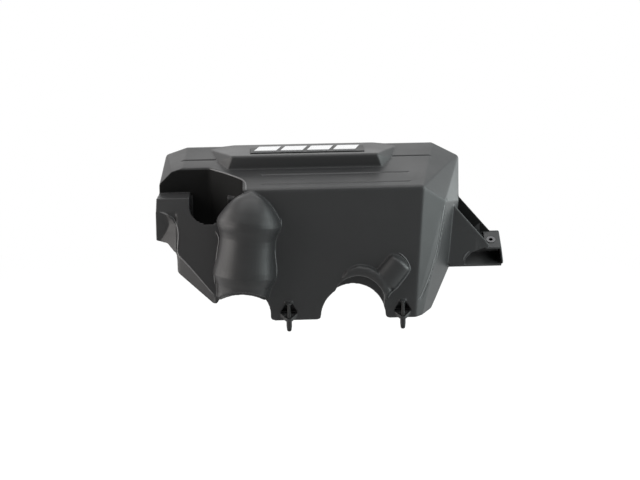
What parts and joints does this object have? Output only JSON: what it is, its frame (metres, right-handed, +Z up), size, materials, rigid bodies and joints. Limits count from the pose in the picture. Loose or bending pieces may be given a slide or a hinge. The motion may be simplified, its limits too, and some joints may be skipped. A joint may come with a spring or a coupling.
{
  "type": "engine cover",
  "caption": "Moulded black engine cover with a sloping top, raised pad, hose blister, two arches, a side bolt bracket and locating pins below.",
  "frame": {"origin": "axis of the left locating pin, at the level of the front face's lower edge, where the pin's shoulder meets its cup", "axes": "+X to the right along the front face, +Y from the front to the back, +Z up, along the locating pins"},
  "size_m": [0.567, 0.2643, 0.2662],
  "materials": {
    "cover": "fine grained black",
    "pins": "satin dark grey",
    "steel": "zinc plated",
    "badge_black": "gloss black",
    "badge_bright": "bright"
  },
  "bodies": {
    "root": {"cover_shell": "cover", "left_pin": "pins", "right_pin": "pins", "bracket_sleeve": "steel", "badge_base": "badge_black", "badge_bar_1": "badge_bright", "badge_bar_2": "badge_bright", "badge_bar_3": "badge_bright", "badge_bar_4": "badge_bright"}
  },
  "joints": []
}
